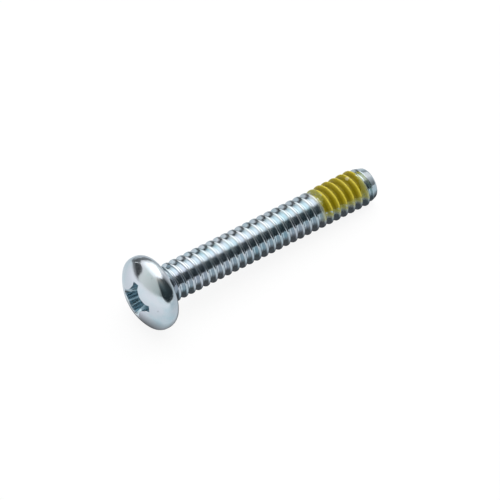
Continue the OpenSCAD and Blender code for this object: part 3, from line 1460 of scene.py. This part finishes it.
@dataclass(frozen=True)
class Studio:
    """White table, white surroundings, one large softbox overhead and the cards that metal mirrors."""

    table_size: float = 6.0
    table_share: float = 0.14
    table_glow: float = 0.885
    softbox_height: float = 0.6
    softbox_corners: tuple[tuple[float, float], ...] = (
        (-1.0, 0.2),
        (0.45, -0.3),
        (1.45, 0.95),
        (-0.7, 2.05),
    )
    softbox_bright_spot: tuple[float, float] = (0.55, 0.45)
    softbox_spread: float = 0.9
    softbox_tones: tuple[float, float] = (1.1, 2.1)
    lamp_size: float = 1.7
    lamp_radiance: float = 1.7
    fill: float = 0.36
    # Painted shadow in the glow that mirrors see, dark at the screw's footprint and fading out over a
    # reach.
    painted_shadow_tone: float = 0.08
    painted_shadow_reach: float = 4.0 * MM
    front_tone: float = 0.7
    left_tone: float = 1.05
    left_reach: float = 42.0 * MM
    behind_tone: float = 0.2
    behind_reach: tuple[float, float] = (20.0 * MM, 45.0 * MM)
    behind_slant: float = 0.5
    behind_end: float = 60.0 * MM
    front_tint: Colour = (0.94, 1.0, 1.06)
    left_tint: Colour = (1.0, 1.0, 1.03)
    screw_reach: tuple[float, float] = (-13.5 * MM, 17.0 * MM)
    screw_half: float = 2.4 * MM
    flags: tuple[Flag, ...] = (
        Flag(
            "front_flag", (-40, 58), (5, 3), (76, 76), (0.03, 0.04), (0.45, 0.12),
            Tint.DIM_BLUE, Tint.BEIGE,
        ),
        Flag(
            "brown_flag", (-64, -40), (5, 5), (76, 76), (0.03, 0.03), (0.6, 0.45),
            Tint.DIM_BLUE, Tint.BEIGE,
        ),
        Flag(
            "edge_flag", (-78, -64), (4, 5), (66, 76), (0.6, 0.03), (0.9, 0.6),
            Tint.GREENISH, Tint.BEIGE,
        ),
        Flag(
            "left_flag", (-128, -78), (2, 4), (42, 66), (0.95, 0.6), (1.15, 0.95),
            Tint.GREENISH, Tint.GREENISH,
        ),
        Flag("right_flag", (58, 95), (2, 1), (60, 45), (0.1, 0.8)),
        Flag("low_back_flag", (95, 135), (-1, -1), (10, 16), (0.55, 0.4)),
        Flag("back_flag", (135, 200), (-1, -1), (22, 24), (0.25, 0.12)),
        Flag("dark_back_flag", (204, 234), (-1, -1), (24, 14), (0.07, 0.07)),
    )

    def table(self) -> bpy.types.Object:
        """Builds the white table, which takes the screw's shadow.

        The camera sees it as plain white. Mirrors see a glow that is a little darker, with a painted
        shadow where the screw stands on it, as they would see a real table's shadow.
        """
        half = self.table_size / 2
        corners = [(-half, -half, 0), (half, -half, 0), (half, half, 0), (-half, half, 0)]
        mesh = bpy.data.meshes.new("table")
        mesh.from_pydata(corners, [], [(0, 1, 2, 3)])
        table = placed("table", mesh)
        material = bpy.data.materials.new("white_table")
        material.use_nodes = True
        tree = material.node_tree
        nodes, links = tree.nodes, tree.links
        nodes.remove(nodes["Principled BSDF"])
        matt = nodes.new("ShaderNodeBsdfDiffuse")
        matt.inputs["Color"].default_value = (*(self.table_share,) * 3, 1)
        light = nodes.new("ShaderNodeEmission")
        parts = nodes.new("ShaderNodeSeparateXYZ")
        links.new(nodes.new("ShaderNodeTexCoord").outputs["Object"], parts.inputs[0])
        middle = sum(self.screw_reach) / 2
        ahead, aside = Number(tree, parts.outputs["X"]), Number(tree, parts.outputs["Y"])
        past = ((ahead - middle).size() - (self.screw_reach[1] - middle)).most(0.0)
        away = (past * past + aside * aside).root() - self.screw_half
        left = ((0.0 - ahead) / self.left_reach).eased()
        clear = self.front_tone + left * (self.left_tone - self.front_tone)
        # Painted shadow: the glow that mirrors see falls to a dark tone near the screw's footprint.
        outside_painted_shadow = (away / self.painted_shadow_reach).share()
        mirrored = self.painted_shadow_tone + outside_painted_shadow * (clear - self.painted_shadow_tone)
        start, end = self.behind_reach
        behind = ((aside + ahead * self.behind_slant - start) / (end - start)).eased()
        behind = behind * (0.5 - ahead / self.behind_end).eased()
        mirrored = mirrored * (1.0 - behind * (1 - self.behind_tone))
        seen = nodes.new("ShaderNodeEmission")
        hue = blended(left, self.front_tint, self.left_tint)
        links.new(hue, seen.inputs["Color"])
        links.new(mirrored.source, seen.inputs["Strength"])
        light.inputs["Strength"].default_value = self.table_glow
        both = nodes.new("ShaderNodeAddShader")
        links.new(matt.outputs[0], both.inputs[0])
        links.new(light.outputs[0], both.inputs[1])
        chosen = nodes.new("ShaderNodeMixShader")
        links.new(nodes.new("ShaderNodeLightPath").outputs["Is Glossy Ray"], chosen.inputs[0])
        links.new(both.outputs[0], chosen.inputs[1])
        links.new(seen.outputs[0], chosen.inputs[2])
        links.new(chosen.outputs[0], nodes["Material Output"].inputs[0])
        mesh.materials.append(material)
        return table

    def surroundings(self) -> None:
        """Makes the world white for the camera, mirrors and glass, and a soft fill for the rest."""
        world = bpy.data.worlds.new("surroundings")
        world.use_nodes = True
        bpy.context.scene.world = world
        nodes, links = world.node_tree.nodes, world.node_tree.links
        sky = nodes["Background"]
        sky.inputs["Color"].default_value = (1, 1, 1, 1)
        path = nodes.new("ShaderNodeLightPath")
        seen = Number(world.node_tree, path.outputs["Is Camera Ray"]).most(
            Number(world.node_tree, path.outputs["Is Glossy Ray"])
        )
        seen = seen.most(Number(world.node_tree, path.outputs["Is Transmission Ray"]))
        links.new((self.fill + seen * (1 - self.fill)).source, sky.inputs["Strength"])

    def softbox(self) -> bpy.types.Object:
        """Hangs the softbox's face over the table, brightest in front of its lamp.

        Only mirrors see it. The lamp itself lights the rest.
        """
        cells = 24
        corners = [Vector((*corner, 1.0)) * self.softbox_height for corner in self.softbox_corners]
        spot = Vector((*self.softbox_bright_spot, 1.0)) * self.softbox_height
        spread = self.softbox_spread * self.softbox_height
        points, tones = [], []
        for row in range(cells + 1):
            left = corners[0].lerp(corners[3], row / cells)
            right = corners[1].lerp(corners[2], row / cells)
            for column in range(cells + 1):
                point = left.lerp(right, column / cells)
                share = math.exp(-(((point - spot).length / spread) ** 2))
                points.append(point)
                tones.append([between(self.softbox_tones, share)] * 3)
        faces = [face[::-1] for face in grid_faces(cells, cells)]
        return glowing_card("softbox_face", points, faces, tones)

    def lamp(self) -> bpy.types.Object:
        """Hangs the lamp inside the softbox, level and facing down, out of the mirrors' sight."""
        light = bpy.data.lights.new("softbox_lamp", "AREA")
        light.size = self.lamp_size * self.softbox_height
        light.energy = self.lamp_radiance * math.pi * light.size**2
        lamp = placed("softbox_lamp", light)
        lamp.location = Vector((*self.softbox_bright_spot, 1.0)) * self.softbox_height
        lamp.visible_glossy = False
        return lamp

    def build(self) -> None:
        """Sets up the table, the surroundings, the softbox and the cards."""
        self.table()
        self.surroundings()
        self.softbox()
        self.lamp()
        for flag in self.flags:
            flag.build()
        settings = bpy.context.scene.view_settings
        settings.view_transform = "Standard"


@dataclass(frozen=True)
class Viewpoint:
    """The camera, placed as the photograph was taken."""

    azimuth: float = -37.231
    elevation: float = 48.557
    distance: float = 1.0
    pixels_per_mm: float = 8.647
    subject: tuple[float, float, float] = (0.0, 0.0, 4.0 * MM)
    subject_pixel: tuple[float, float] = (252.096, 238.025)
    sensor: float = 36.0

    def build(self) -> bpy.types.Object:
        """Builds the camera and makes it the scene's.

        Returns:
            The camera.
        """
        azimuth = math.radians(self.azimuth)
        back = direction(azimuth, math.radians(self.elevation))
        right = Vector((math.cos(azimuth), math.sin(azimuth), 0.0))
        up = back.cross(right)
        scale = self.pixels_per_mm / MM
        aim = Vector(self.subject)
        aim -= right * ((self.subject_pixel[0] - PIXELS / 2) / scale)
        aim -= up * ((PIXELS / 2 - self.subject_pixel[1]) / scale)
        lens = bpy.data.cameras.new("camera")
        lens.sensor_width = self.sensor
        lens.lens = scale * self.distance * self.sensor / PIXELS
        camera = placed("camera", lens)
        turn = Matrix((right, up, back)).transposed().to_4x4()
        camera.matrix_world = Matrix.Translation(aim + back * self.distance) @ turn
        bpy.context.scene.camera = camera
        return camera


def main() -> None:
    """Builds the camera, the screw, its patch and the studio, in that order."""
    logging.basicConfig(level=logging.INFO, format="%(name)s: %(message)s")
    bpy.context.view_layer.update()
    axis = ScrewAxis.from_record(frame["record"])
    thread = ThreadForm()
    Viewpoint().build()
    PlatedScrew(thread, PanHead(), axis, ZincPlate(axis)).build()
    LockingPatch(thread, axis, NylonFilm(axis)).build()
    Studio().build()
    bpy.context.view_layer.update()


if __name__ == "__main__":
    main()
